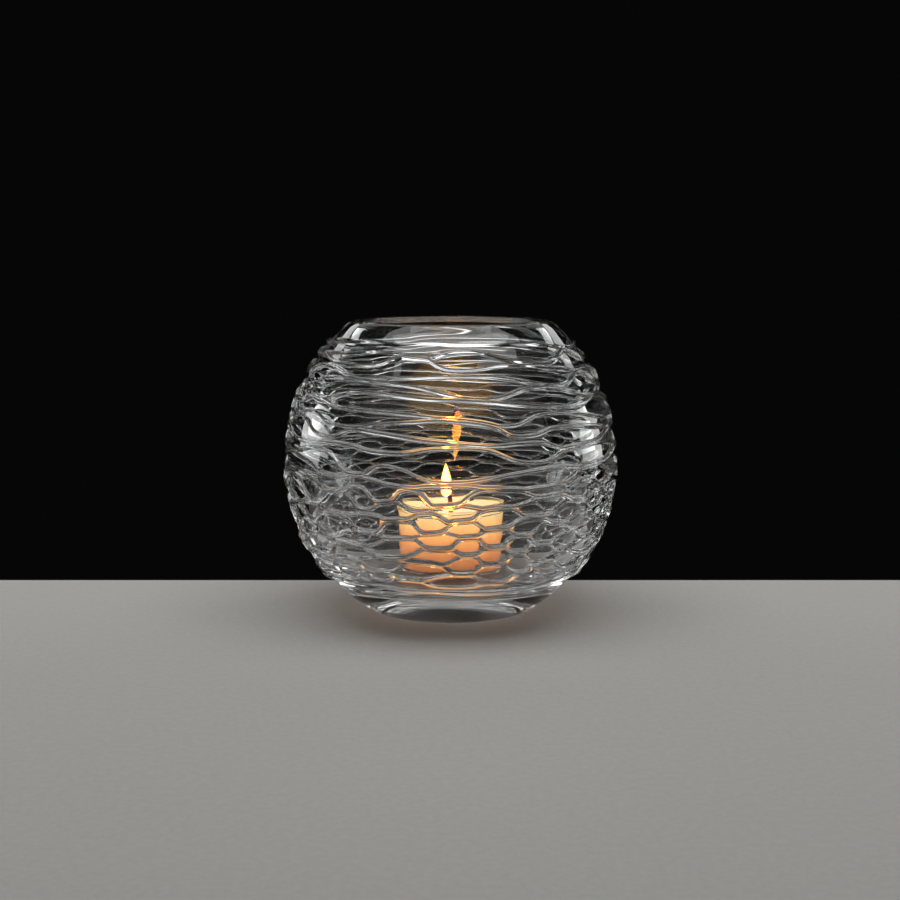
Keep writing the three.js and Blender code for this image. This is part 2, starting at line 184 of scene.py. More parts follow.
FLAME_BELLY = 0.62  # a lower value puts the belly lower
FLAME_FULLNESS = 0.9  # a lower value makes the two ends blunter
FLAME_TAPER = 0.35  # how much slimmer the top is drawn
FLAME_LEAN = 0.4  # to the left, at the top
CORE_SIZE = 0.8  # of the mantle's radius
CORE_STOPS = [(0.0, "#5A4A8A"), (0.12, "#E8661A"), (0.35, "#FFA436"), (0.7, "#FFA83A"), (1.0, "#FF8A22")]
MANTLE_STOPS = [(0.0, "#2A3CFF"), (0.15, "#FF7A1E"), (0.5, "#FFA23C"), (1.0, "#FF8A22")]

# Light, and the camera at the photograph's viewing angle
LIT_HEIGHT = 50.0  # of the point that every panel of light is turned to
CAMERA_PLACE = (-0.23, -494.5, 125.5)
CAMERA_PITCH = 8.05  # degrees below level
CAMERA_LENS, CAMERA_SENSOR = 56.25, 36.0


def linear(colour):
    """Turns an sRGB hex value into linear red, green, blue and alpha."""
    channels = [int(colour[place:place + 2], 16) / 255 for place in (1, 3, 5)]
    return [c / 12.92 if c <= 0.04045 else ((c + 0.055) / 1.055) ** 2.4 for c in channels] + [1.0]


def add(tree, kind, inputs=(), stops=(), **settings):
    """Adds a node with its settings, and fills its inputs with values or with other nodes' outputs."""
    node = tree.nodes.new(kind)
    for name, value in settings.items():
        setattr(node, name, value)
    if stops:
        ramp = node.color_ramp.elements
        ramp[0].position, ramp[1].position = stops[0][0], stops[-1][0]
        for place, _ in stops[1:-1]:
            ramp.new(place)
        for element, (_, colour) in zip(ramp, stops):
            element.color = linear(colour)
    for socket, value in dict(inputs).items():
        if isinstance(value, bpy.types.Node):
            value = next(output for output in value.outputs if output.enabled)
        if isinstance(value, bpy.types.NodeSocket):
            tree.links.new(value, node.inputs[socket])
        else:
            node.inputs[socket].default_value = value
    return node


def finish_named(name, **sockets):
    """Makes a material with these constants on its shader, and gives it with its tree and its shader."""
    material = bpy.data.materials.new(name)
    material.use_nodes = True
    tree = material.node_tree
    shader = tree.nodes["Principled BSDF"]
    for socket, value in sockets.items():
        shader.inputs[socket.replace("_", " ")].default_value = value
    return material, tree, shader


def detail(size):
    """The scale that gives a pattern this size in millimetres."""
    return 1 / (size * MM)


# Materials

def clear_glass():
    """Fire-polished soda-lime glass: colourless and bright, with the soft swim of a hand-blown wall."""
    material, tree, shader = finish_named(
        "fire_polished_glass", Base_Color=linear("#FBFDFD"), Transmission_Weight=1.0, IOR=1.52
    )
    place = add(tree, "ShaderNodeTexCoord").outputs["Object"]
    swim = add(tree, "ShaderNodeTexNoise", {"Vector": place, "Scale": detail(14), "Detail": 1.0})
    bump = add(tree, "ShaderNodeBump", {"Height": swim, "Strength": 0.25, "Distance": 0.12 * MM})
    haze = add(tree, "ShaderNodeTexNoise", {"Vector": place, "Scale": detail(5), "Detail": 3.0})
    soft = add(tree, "ShaderNodeMapRange", {"Value": haze, "From Min": 0.45, "From Max": 0.8, "To Max": 0.03})
    tree.links.new(soft.outputs["Result"], shader.inputs["Roughness"])
    tree.links.new(bump.outputs["Normal"], shader.inputs["Normal"])
    return material


def clear_plastic():
    """Injection-moulded polycarbonate: clear, a little greyer than glass, with faint draw marks."""
    material, tree, shader = finish_named(
        "moulded_polycarbonate", Base_Color=linear("#EDEFF1"), Transmission_Weight=1.0, IOR=1.585
    )
    place = add(tree, "ShaderNodeTexCoord").outputs["Object"]
    tall = add(tree, "ShaderNodeMapping", {"Vector": place, "Scale": (1.0, 1.0, 0.08)})
    marks = add(tree, "ShaderNodeTexNoise", {"Vector": tall, "Scale": detail(1.5), "Detail": 2.0})
    bump = add(tree, "ShaderNodeBump", {"Height": marks, "Strength": 0.15, "Distance": 0.05 * MM})
    soft = add(tree, "ShaderNodeMapRange", {"Value": marks, "To Min": 0.03, "To Max": 0.1})
    tree.links.new(soft.outputs["Result"], shader.inputs["Roughness"])
    tree.links.new(bump.outputs["Normal"], shader.inputs["Normal"])
    return material


def paraffin_wax():
    """Poured paraffin with a painted glow for the flame's light inside it: orange at the sides, paler near
    the flame, and wet on top.
    """
    material, tree, shader = finish_named(
        "poured_paraffin_wax",
        IOR=1.44,
        Subsurface_Weight=0.5,
        Subsurface_Radius=(1.0, 0.5, 0.25),
        Subsurface_Scale=2.5 * MM,
        # Emission paints a glow that stands in for the flame's light inside the wax
        Emission_Strength=0.95,
    )
    place = add(tree, "ShaderNodeTexCoord").outputs["Object"]
    apart = add(tree, "ShaderNodeSeparateXYZ", {"Vector": place})
    bottom = (FLOOR_HEIGHT + CUP_INSIDE_FLOOR) * MM
    top = (FLOOR_HEIGHT + WAX_TOP) * MM
    height = add(
        tree, "ShaderNodeMapRange", {"Value": apart.outputs["Z"], "From Min": bottom, "From Max": top}
    )
    mottle = add(tree, "ShaderNodeTexNoise", {"Vector": place, "Scale": detail(5), "Detail": 2.0})
    uneven = add(tree, "ShaderNodeMath", {0: mottle, 1: PAINTED_GLOW_MOTTLE, 2: height}, operation="MULTIPLY_ADD")
    flat = add(tree, "ShaderNodeMapping", {"Vector": place, "Scale": (1.0, 1.0, 0.0)})
    radius = add(tree, "ShaderNodeVectorMath", {0: flat}, operation="LENGTH")
    middle = add(
        tree,
        "ShaderNodeMapRange",
        {
            "Value": radius,
            "From Max": CUP_RADIUS * MM,
            "To Min": POOL_PAINTED_GLOW - PAINTED_GLOW_MOTTLE / 2,
            "To Max": -PAINTED_GLOW_MOTTLE / 2,
        },
    )
    level = add(tree, "ShaderNodeMath", {0: uneven, 1: middle}, operation="ADD")
    share = add(tree, "ShaderNodeMath", {0: level, 1: 1 + POOL_PAINTED_GLOW}, operation="DIVIDE")
    # Painted glow: warm emission, palest near the wick and towards the top, standing in for the flame's light
    # in the wax
    glow = add(
        tree,
        "ShaderNodeValToRGB",
        {"Fac": share},
        stops=[
            (0.0, "#8E5432"), (0.25, "#C97C44"), (0.5, "#F4A258"),
            (0.69, "#FFC676"), (0.84, "#FFD88E"), (1.0, "#FFF0BC"),
        ],
    )
    colour = add(tree, "ShaderNodeValToRGB", {"Fac": mottle}, stops=[(0.3, "#D8A878"), (0.7, "#E6BE92")])
    ripple = add(tree, "ShaderNodeTexNoise", {"Vector": place, "Scale": detail(3), "Detail": 3.0})
    bump = add(tree, "ShaderNodeBump", {"Height": ripple, "Strength": 0.2, "Distance": 0.15 * MM})
    wet = add(
        tree,
        "ShaderNodeMapRange",
        {
            "Value": apart.outputs["Z"],
            "From Min": top - WET_DEPTH * MM,
            "From Max": top,
            "To Min": 0.42,
            "To Max": 0.12,
        },
    )
    tree.links.new(colour.outputs["Color"], shader.inputs["Base Color"])
    tree.links.new(glow.outputs["Color"], shader.inputs["Emission Color"])
    tree.links.new(wet.outputs["Result"], shader.inputs["Roughness"])
    tree.links.new(bump.outputs["Normal"], shader.inputs["Normal"])
    return material


def tinplate():
    """Stamped tin-plated steel: a bright grey metal with a satin, lightly scuffed skin."""
    material, tree, shader = finish_named("stamped_tinplate", Base_Color=linear("#C3C4C2"), Metallic=1.0)
    place = add(tree, "ShaderNodeTexCoord").outputs["Object"]
    scuffs = add(tree, "ShaderNodeTexNoise", {"Vector": place, "Scale": detail(0.8), "Detail": 4.0})
    rough = add(tree, "ShaderNodeMapRange", {"Value": scuffs, "To Min": 0.22, "To Max": 0.48})
    bump = add(tree, "ShaderNodeBump", {"Height": scuffs, "Strength": 0.3, "Distance": 0.03 * MM})
    tree.links.new(rough.outputs["Result"], shader.inputs["Roughness"])
    tree.links.new(bump.outputs["Normal"], shader.inputs["Normal"])
    return material


def cotton():
    """Braided cotton soaked in wax: tan in the pool, charred black above it, with an ember at the tip and a
    painted warm glow low down, at and under the top of the wax.
    """
    material, tree, shader = finish_named("waxed_cotton_braid", Roughness=0.85, Emission_Strength=3.0)
    place = add(tree, "ShaderNodeTexCoord").outputs["Object"]
    apart = add(tree, "ShaderNodeSeparateXYZ", {"Vector": place})
    fibre = add(tree, "ShaderNodeTexNoise", {"Vector": place, "Scale": detail(0.5), "Detail": 3.0})
    low, high = (FLOOR_HEIGHT + WAX_TOP) * MM, wick_high[2] * MM
    height = add(
        tree, "ShaderNodeMapRange", {"Value": apart.outputs["Z"], "From Min": low, "From Max": high}
    )
    uneven = add(tree, "ShaderNodeMath", {0: fibre, 1: CHAR_MOTTLE, 2: height}, operation="MULTIPLY_ADD")
    char = add(
        tree,
        "ShaderNodeValToRGB",
        {"Fac": uneven},
        stops=[(0.05, "#B98A55"), (0.3, "#7A4A22"), (0.55, "#2A1A10"), (0.9, "#120D0A")],
    )
    # Emission: a painted warm glow low on the wick for the flame's light, then dark, then the real glowing
    # ember at the tip
    ember_and_painted_glow = add(
        tree,
        "ShaderNodeValToRGB",
        {"Fac": uneven},
        stops=[(0.0, "#7A3A0C"), (0.35, "#2A0D02"), (0.8, "#000000"), (1.0, "#FF5A14")],
    )
    bump = add(tree, "ShaderNodeBump", {"Height": fibre, "Strength": 0.6, "Distance": 0.08 * MM})
    tree.links.new(char.outputs["Color"], shader.inputs["Base Color"])
    tree.links.new(ember_and_painted_glow.outputs["Color"], shader.inputs["Emission Color"])
    tree.links.new(bump.outputs["Normal"], shader.inputs["Normal"])
    return material


def flame_glow(name, strength, opacity, stops):
    """Burning wax vapour: it only gives light, brightest and palest in the middle of its height."""
    material, tree, shader = finish_named(
        name, Base_Color=linear("#000000"), Roughness=1.0, Emission_Strength=strength, Alpha=opacity
    )
    shader.inputs["Specular IOR Level"].default_value = 0.0
    place = add(tree, "ShaderNodeTexCoord").outputs["Object"]
    apart = add(tree, "ShaderNodeSeparateXYZ", {"Vector": place})
    low, high = (FLOOR_HEIGHT + FLAME_BASE) * MM, (FLOOR_HEIGHT + FLAME_TOP) * MM
    height = add(
        tree, "ShaderNodeMapRange", {"Value": apart.outputs["Z"], "From Min": low, "From Max": high}
    )
    glow = add(tree, "ShaderNodeValToRGB", {"Fac": height}, stops=stops)
    tree.links.new(glow.outputs["Color"], shader.inputs["Emission Color"])
    return material


def table_card():
    """Pale matt card under the object, with a barely seen tooth."""
    material, tree, shader = finish_named("pale_matt_card", Roughness=0.7)
    place = add(tree, "ShaderNodeTexCoord").outputs["Object"]
    tooth = add(tree, "ShaderNodeTexNoise", {"Vector": place, "Scale": detail(2), "Detail": 4.0})
    colour = add(tree, "ShaderNodeValToRGB", {"Fac": tooth}, stops=[(0.3, "#DFDDD9"), (0.7, "#E6E4E0")])
    tree.links.new(colour.outputs["Color"], shader.inputs["Base Color"])
    return material


# Meshes

def mesh_object(name, points, faces, edges=()):
    """Makes a smooth object of points in millimetres."""
    mesh = bpy.data.meshes.new(name)
    mesh.from_pydata((np.asarray(points) * MM).tolist(), list(edges), [list(map(int, f)) for f in faces])
    mesh.validate()
    mesh.polygons.foreach_set("use_smooth", [True] * len(mesh.polygons))
    piece = bpy.data.objects.new(name, mesh)
    bpy.context.scene.collection.objects.link(piece)
    return piece


def settle(piece, tree, **inputs):
    """Runs a geometry tree on a piece with these named inputs, and keeps the result as its plain mesh."""
    modifier = piece.modifiers.new(tree.name, "NODES")
    modifier.node_group = tree
    for socket in tree.interface.items_tree:
        if socket.in_out == "INPUT" and socket.name in inputs:
            modifier[socket.identifier] = inputs[socket.name]
    graph = bpy.context.evaluated_depsgraph_get()
    mesh = bpy.data.meshes.new_from_object(piece.evaluated_get(graph))
    piece.modifiers.clear()
    piece.data = mesh
    # The tree's own measures have done their work
    for name in [a.name for a in mesh.attributes if not a.is_internal and not a.is_required]:
        if name not in ("sharp_face", "sharp_edge", "material_index"):
            mesh.attributes.remove(mesh.attributes[name])
    return piece


def new_tree(name, inputs):
    """Starts a geometry tree with these named inputs, and gives the tree and those inputs."""
    tree = bpy.data.node_groups.new(name, "GeometryNodeTree")
    tree.interface.new_socket("Geometry", in_out="INPUT", socket_type="NodeSocketGeometry")
    for socket, kind in inputs.items():
        tree.interface.new_socket(socket, in_out="INPUT", socket_type="NodeSocket" + kind)
    tree.interface.new_socket("Geometry", in_out="OUTPUT", socket_type="NodeSocketGeometry")
    return tree, tree.nodes.new("NodeGroupInput").outputs


def close_tree(tree, geometry, material):
    """Ends a geometry tree with a smooth, real mesh in one material."""
    smooth = add(tree, "GeometryNodeSetShadeSmooth", {"Geometry": geometry})
    real = add(tree, "GeometryNodeRealizeInstances", {"Geometry": smooth})
    painted = add(tree, "GeometryNodeSetMaterial", {"Geometry": real, "Material": material})
    add(tree, "NodeGroupOutput", {0: painted})
    return tree


def rounded(corners, steps=5):
    """Turns (radius, height, round) corners into a line whose corners are rounded over that length."""
    line = []
    for i, (r, z, size) in enumerate(corners):
        corner = np.array([r, z], float)
        if size == 0:
            line.append(corner)
            continue
        before = np.array(corners[i - 1][:2], float) - corner
        after = np.array(corners[(i + 1) % len(corners)][:2], float) - corner
        start = corner + before / np.linalg.norm(before) * size
        end = corner + after / np.linalg.norm(after) * size
        for s in np.linspace(0, 1, steps + 1):
            line.append((1 - s) ** 2 * start + 2 * s * (1 - s) * corner + s ** 2 * end)
    return np.array(line)


def turned(name, line, segments, material):
    """Turns a line of (radius, height) about the axis, as a closed skin with this many points round it.

    A line that starts and ends on the axis closes there, and any other closes on itself."""
    line = np.array(line, float)
    theta = FULL_TURN * np.arange(segments) / segments
    poles = line[0, 0] < 1e-6
    rings = line[1:-1] if poles else line
    ring = np.arange(segments)
    after = np.roll(ring, -1)
    points = [
        np.stack([r * np.cos(theta), r * np.sin(theta), np.full(segments, z)], 1) for r, z in rings
    ]
    points = np.concatenate(points)
    faces = []
    pairs = [(i, i + 1) for i in range(len(rings) - 1)]
    if not poles:
        pairs.append((len(rings) - 1, 0))
    for low, high in pairs:
        a, b = low * segments, high * segments
        faces.extend(np.stack([a + ring, a + after, b + after, b + ring], 1))
    if poles:
        first, last = len(points), len(points) + 1
        points = np.concatenate([points, [[0, 0, line[0, 1]], [0, 0, line[-1, 1]]]])
        top = (len(rings) - 1) * segments
        faces.extend(np.stack([after, ring, np.full(segments, first)], 1))
        faces.extend(np.stack([top + ring, top + after, np.full(segments, last)], 1))
    piece = mesh_object(name, points, faces)
    piece.data.materials.append(material)
    return piece


# Glass bowl with its melted-on thread

def wall_of(widest, rim_radius, rim_height, foot_radius, foot_height):
    """A wall's widest radius, and how far its ellipse rises above and falls below the belly."""
    rise = (rim_height - BELLY_HEIGHT) / math.sin(math.acos(rim_radius / widest))
    fall = (BELLY_HEIGHT - foot_height) / math.sin(math.acos(foot_radius / widest))
    return widest, rise, fall


OUTSIDE = wall_of(BELLY_RADIUS, RIM_RADIUS, RIM_HEIGHT, FOOT_RADIUS, 0)
INSIDE = wall_of(BELLY_RADIUS - BELLY_WALL, RIM_RADIUS - RIM_WALL, RIM_HEIGHT, FLOOR_RADIUS, FLOOR_HEIGHT)


def wall_rise(wall, angle):
    """How far a wall's ellipse reaches from the belly, up or down, on the side where this angle lies."""
    return np.where(np.asarray(angle) > 0, wall[1], wall[2])


def wall_point(wall, angle):
    """Radius and height on a wall, at an angle above the belly."""
    return wall[0] * np.cos(angle), BELLY_HEIGHT + wall_rise(wall, angle) * np.sin(angle)


def wall_angle(wall, height):
    """The angle above the belly at which a wall has this height."""
    return np.arcsin((height - BELLY_HEIGHT) / wall_rise(wall, height - BELLY_HEIGHT))


def at_height(wall, height):
    """Radius and height on a wall, at a height."""
    return wall_point(wall, wall_angle(wall, height))


def wall_stretch(wall, angle):
    """Length along a wall for each radian of its angle."""
    return np.hypot(wall[0] * np.sin(angle), wall_rise(wall, angle) * np.cos(angle))


def strayed(theta, height):
    """How far a blown wall strays in or out, as a share of HAND_BLOWN."""
    return sum(
        share * np.sin(lobes * theta + height / climb + start) for share, lobes, climb, start in STRAYS
    )


def sum_of_sines(waves, turn):
    """Waves of (swing, number in a turn, start), added up at this many turns from the top."""
    return sum(swing * np.sin(FULL_TURN * rate * turn + start) for swing, rate, start in waves)


def eased_ramp(turns):
    """Rises slowly from 0, then one for one."""
    first = np.clip(turns, 0, 1)
    return first ** 3 - first ** 4 / 2 + np.clip(turns - 1, 0, None)


def smooth_step(share):
    """Goes from 0 to 1 with an easy start and end."""
    share = np.clip(share, 0, 1)
    return share * share * (3 - 2 * share)


def thread_angle(turn):
    """Where the thread is laid on the outside, after this many turns from the top."""
    waves = WAVES_AT_TOP * turn
    for start, more in MORE_WAVES:
        waves = waves + more * eased_ramp(turn - start)
    phase = FULL_TURN * waves + sum_of_sines(DRIFTS, turn)
    calm = smooth_step(np.minimum(turn, TURNS - turn) / CALM_TURNS)
    wave = np.tanh(SWAY_FLATNESS * np.sin(phase)) / math.tanh(SWAY_FLATNESS)
    swing = SWAY_TOP + (SWAY_FOOT - SWAY_TOP) * turn / TURNS
    sway = swing * calm * (1 + sum_of_sines(SWELLS, turn)) * wave
    passes = np.round(turn - FRONT)
    ahead = np.exp(-((turn - FRONT - passes) / WINDOW_WIDTH) ** 2)
    rank = passes + FRONT - WINDOW_TURN
    parting = WINDOW_PUSH * ahead * np.tanh(WINDOW_SHARPNESS * rank) * np.exp(-((rank / WINDOW_REACH) ** 2))
    sway = sway * (1 - WINDOW_CALM * ahead * np.exp(-((rank / WINDOW_CALM_REACH) ** 2)))
    share = (turn + sway + parting + sum_of_sines(TILTS, turn)) / TURNS
    crowded = (1 + CROWDING) * share - CROWDING * share ** 2
    top, bottom = wall_angle(OUTSIDE, THREAD_TOP), wall_angle(OUTSIDE, THREAD_BOTTOM)
    return top + (bottom - top) * crowded


def run_together(laid):
    """Draws neighbouring turns together where they were laid close, as hot glass does, so that they fuse."""
    stretch = wall_stretch(OUTSIDE, laid)
    upper, lower = slice(None, -COLUMNS), slice(COLUMNS, None)
    gap = (laid[upper] - laid[lower]) * (stretch[upper] + stretch[lower]) / 2
    apart = smooth_step((gap - FUSING_TO) / (FUSING_FROM - FUSING_TO))
    pull = (gap - FUSED_GAP) * (1 - apart) / 2
    fused = laid.copy()
    fused[upper] -= pull / stretch[upper]
    fused[lower] += pull / stretch[lower]
    return fused


def zipped(left, right, angle):
    """Triangles between two runs of points down the wall that differ in number."""
    faces, i, j = [], 0, 0
    while i < len(left) - 1 or j < len(right) - 1:
        more_left, more_right = i < len(left) - 1, j < len(right) - 1
        if more_left and (not more_right or angle[left[i + 1]] > angle[right[j + 1]]):
            faces.append((left[i], left[i + 1], right[j]))
            i += 1
        else:
            faces.append((left[i], right[j + 1], right[j]))
            j += 1
    return faces


def quads(columns):
    """Faces between neighbouring columns of points, each column running down the wall."""
    a, b = columns[:-1], columns[1:]
    return np.stack([a[:, :-1], a[:, 1:], b[:, 1:], b[:, :-1]], -1).reshape(-1, 4)


def glass_bowl(material):
    """One closed skin of glass: the thread's spiral lattice outside, then rim, inside, floor and foot."""
    samples = np.arange(TURNS * COLUMNS + 1)
    turn = samples / COLUMNS
    crest = run_together(thread_angle(turn))
    radius, _ = wall_point(OUTSIDE, crest)
    slope = np.gradient(crest, turn) * wall_stretch(OUTSIDE, crest) / (FULL_TURN * radius)
    upright = 1 / np.hypot(1, slope)
    ends = np.minimum(turn, TURNS - turn) / TAPER_TURNS
    size = (1 + sum_of_sines(THICKNESS_WAVES, turn)) * (TIP_SIZE + (1 - TIP_SIZE) * smooth_step(ends))
    reach = BEAD_HALF_WIDTH * size / upright
    rows = {"sample": [], "angle": [], "above": [], "below": [], "above_size": [], "below_size": []}

    def block(sample, **columns):
        """Keeps a block of points, with a row of them for each sample, and gives their numbers."""
        shape = columns["angle"].shape
        start = sum(len(part) for part in rows["angle"])
        for name, values in dict(columns, sample=sample[:, None]).items():
            rows[name].append(np.broadcast_to(values, shape).ravel())
        return start + np.arange(shape[0] * shape[1]).reshape(shape)

    # The bands between each turn and the one under it
    last = (TURNS - 1) * COLUMNS
    k = np.arange(last + 1)
    under = k + COLUMNS
    drop = crest[k] - crest[under]
    gap = wall_stretch(OUTSIDE, (crest[k] + crest[under]) / 2) * drop
    squeeze = np.minimum(1, 0.5 * gap / (BEAD_REACH * np.maximum(reach[k], reach[under])))
    from_top = np.concatenate([[0], BEAD_STEPS]) * (reach[k] * squeeze)[:, None]
    from_bottom = gap[:, None] - BEAD_STEPS[::-1] * (reach[under] * squeeze)[:, None]
    down = np.concatenate([from_top, gap[:, None] / 2, from_bottom], 1)
    band = block(
        k,
        angle=crest[k][:, None] - down / gap[:, None] * drop[:, None],
        above=down * upright[k][:, None],
        below=(gap[:, None] - down) * upright[under][:, None],
        above_size=size[k][:, None],
        below_size=size[under][:, None],
    )

    # The collar over the first turn
    k = np.arange(COLUMNS)
    top = wall_angle(OUTSIDE, COLLAR_HEIGHT)
    gap = (wall_stretch(OUTSIDE, (top + crest[k]) / 2) * (top - crest[k]))[:, None]
    near = BEAD_STEPS[::-1] * reach[k][:, None]
    near = near * np.minimum(1, gap / (BEAD_REACH * reach[k][:, None]))
    up = np.concatenate([gap, (gap + near[:, :1]) / 2, near], 1)
    collar = block(
        k,
        angle=crest[k][:, None] + up / gap * (top - crest[k])[:, None],
        above=np.array([[FAR]]),
        below=up * upright[k][:, None],
        above_size=np.array([[1.0]]),
        below_size=size[k][:, None],
    )

    # The skirt under the last turn
    k = np.arange(last + 1, TURNS * COLUMNS + 1)
    bottom = wall_angle(OUTSIDE, SKIRT_HEIGHT)
    gap = (wall_stretch(OUTSIDE, (bottom + crest[k]) / 2) * (crest[k] - bottom))[:, None]
    near = np.concatenate([[0], BEAD_STEPS]) * reach[k][:, None]
    near = near * np.minimum(1, gap / (BEAD_REACH * reach[k][:, None]))
    down = np.concatenate([near, (gap + near[:, -1:]) / 2, gap], 1)
    skirt = block(
        k,
        angle=crest[k][:, None] - down / gap * (crest[k] - bottom)[:, None],
        above=down * upright[k][:, None],
        below=np.array([[FAR]]),
        above_size=size[k][:, None],
        below_size=np.array([[1.0]]),
    )

    # Faces of the web, with a zipped seam where the thread starts and one where it ends
    web = {name: np.concatenate(parts) for name, parts in rows.items()}
    crests = np.concatenate([band[:, 0], skirt[:, 0]])
    band = np.concatenate([band, crests[COLUMNS:][:, None]], 1)
    collar = np.concatenate([collar, crests[:COLUMNS][:, None]], 1)
    faces = [*quads(band), *quads(collar), *quads(skirt)]
    faces += zipped(collar[-1], np.concatenate([collar[0], band[0, 1:]]), web["angle"])
    faces += zipped(np.concatenate([band[-1], skirt[-1, 1:]]), skirt[0], web["angle"])

    # Places of its points on the blown wall, and the way straight out from the wall at each
    theta = FULL_TURN * web["sample"] / COLUMNS
    radius, height = wall_point(OUTSIDE, web["angle"])
    radius = radius + HAND_BLOWN * strayed(theta, height)
    points = [np.stack([radius * np.cos(theta), radius * np.sin(theta), height], 1)]
    lean_out = wall_rise(OUTSIDE, web["angle"]) * np.cos(web["angle"])
    lean_up = BELLY_RADIUS * np.sin(web["angle"])
    length = np.hypot(lean_out, lean_up)
    out = np.stack([lean_out * np.cos(theta), lean_out * np.sin(theta), lean_up], 1) / length[:, None]

    round_theta = FULL_TURN * np.arange(COLUMNS) / COLUMNS
    count = len(out)

    def rings(start, line, downwards):
        """Carries the skin on from a ring of points along a line, to a point on the axis."""
        nonlocal count

        def both_sides(ring):
            after = np.roll(ring, -1)
            return (ring, after) if downwards else (after, ring)

        left, right = both_sides(start)
        for r, z, stray in line[:-1]:
            wide = r + HAND_BLOWN * stray * strayed(round_theta, z)
            x, y = wide * np.cos(round_theta), wide * np.sin(round_theta)
            points.append(np.stack([x, y, np.full(COLUMNS, z)], 1))
            next_left, next_right = both_sides(count + np.arange(COLUMNS))
            faces.extend(np.stack([left, next_left, next_right, right], 1))
            left, right = next_left, next_right
            count += COLUMNS
        points.append(np.array([[0, 0, line[-1][1]]]))
        faces.extend(np.stack([left, np.full(COLUMNS, count), right], 1))
        count += 1

    rim = rounded(
        [
            (*at_height(OUTSIDE, RIM_HEIGHT - RIM_START), 0),
            (RIM_RADIUS, RIM_HEIGHT, RIM_ROUND),
            (RIM_RADIUS - RIM_WALL, RIM_HEIGHT, RIM_ROUND),
            (*at_height(INSIDE, RIM_HEIGHT - RIM_START), 0),
        ]
    )
    inside_angles = np.linspace(
        wall_angle(INSIDE, RIM_HEIGHT - INSIDE_START),
        wall_angle(INSIDE, FLOOR_HEIGHT + INSIDE_END),
        INSIDE_RINGS,
    )
    inside_strays = INSIDE_STRAY * np.sin(np.linspace(0, math.pi, INSIDE_RINGS))
    inside = [(*wall_point(INSIDE, angle), stray) for angle, stray in zip(inside_angles, inside_strays)]
    floor = rounded(
        [
            (*inside[-1][:2], 0),
            (FLOOR_RADIUS, FLOOR_HEIGHT, FLOOR_ROUND),
            (FLOOR_RINGS[0], FLOOR_HEIGHT, 0),
        ]
    )[1:]
    top_line = [(r, z, 0.0) for r, z in rim] + inside + [(r, z, 0.0) for r, z in floor]
    top_line += [(FLOOR_RINGS[1], FLOOR_HEIGHT, 0.0), (0.0, FLOOR_HEIGHT, 0.0)]
    rings(collar[:, 0], top_line, downwards=False)

    foot = rounded(
        [
            (*at_height(OUTSIDE, FOOT_START), 0),
            (FOOT_RADIUS, 0, FOOT_ROUND),
            (FOOT_RINGS[0], 0, 0),
        ]
    )
    foot_line = [(*at_height(OUTSIDE, FOOT_TOP), FOOT_STRAY)] + [(r, z, 0.0) for r, z in foot]
    foot_line += [(FOOT_RINGS[1], 0.0, 0.0), (0.0, 0.0, 0.0)]
    rings(np.roll(skirt[:, -1], 1), foot_line, downwards=True)

    points = np.concatenate(points)
    # What the geometry tree needs to know at each point
    piece = mesh_object("glass_globe", points, faces)
    fill = len(points) - len(out)
    for name in ("above", "below", "above_size", "below_size"):
        is_size = name.endswith("size")
        values = np.concatenate([web[name], np.full(fill, 1.0 if is_size else FAR)])
        values = values if is_size else values * MM
        attribute = piece.data.attributes.new(name, "FLOAT", "POINT")
        attribute.data.foreach_set("value", values.astype(np.float32))
    out = np.concatenate([out, np.zeros((fill, 3))])
    attribute = piece.data.attributes.new("out", "FLOAT_VECTOR", "POINT")
    attribute.data.foreach_set("vector", out.astype(np.float32).ravel())
    return settle(
        piece,
        thread_tree(),
        **{
            "Bead height": BEAD_HEIGHT * MM,
            "Bead half width": BEAD_HALF_WIDTH * MM,
            "Melting": MELTING,
            "Glass": material,
        },
    )


def thread_tree():
    """Raises a rounded bead of glass along each turn of the thread, and melts neighbouring beads together."""
    tree, given = new_tree(
        "melted_thread",
        {"Bead height": "Float", "Bead half width": "Float", "Melting": "Float", "Glass": "Material"},
    )
    raised = []
    for side in ("above", "below"):
        gap = add(tree, "GeometryNodeInputNamedAttribute", {"Name": side}, data_type="FLOAT")
        size = add(tree, "GeometryNodeInputNamedAttribute", {"Name": side + "_size"}, data_type="FLOAT")
        wide = add(tree, "ShaderNodeMath", {0: size, 1: given["Bead half width"]}, operation="MULTIPLY")
        share = add(tree, "ShaderNodeMath", {0: gap, 1: wide}, operation="DIVIDE")
        tight = add(tree, "ShaderNodeMath", {0: share, 1: BEAD_WAIST}, operation="DIVIDE")
        steep = add(tree, "ShaderNodeMath", {0: tight, 1: BEAD_STEEPNESS}, operation="POWER")
        minus = add(tree, "ShaderNodeMath", {0: steep, 1: -1.0}, operation="MULTIPLY")
        bell = add(tree, "ShaderNodeMath", {0: minus}, operation="EXPONENT")
        scaled = add(tree, "ShaderNodeMath", {0: bell, 1: size}, operation="MULTIPLY")
        raised.append(add(tree, "ShaderNodeMath", {0: scaled, 1: given["Melting"]}, operation="POWER"))
    total = add(tree, "ShaderNodeMath", {0: raised[0], 1: raised[1]}, operation="ADD")
    inverse = add(tree, "ShaderNodeMath", {0: 1.0, 1: given["Melting"]}, operation="DIVIDE")
    melted = add(tree, "ShaderNodeMath", {0: total, 1: inverse}, operation="POWER")
    lift = add(tree, "ShaderNodeMath", {0: melted, 1: given["Bead height"]}, operation="MULTIPLY")
    out = add(tree, "GeometryNodeInputNamedAttribute", {"Name": "out"}, data_type="FLOAT_VECTOR")
    offset = add(tree, "ShaderNodeVectorMath", {"Vector": out, "Scale": lift}, operation="SCALE")
    moved = add(tree, "GeometryNodeSetPosition", {"Geometry": given["Geometry"], "Offset": offset.outputs[0]})
    return close_tree(tree, moved, given["Glass"])


# Tealight

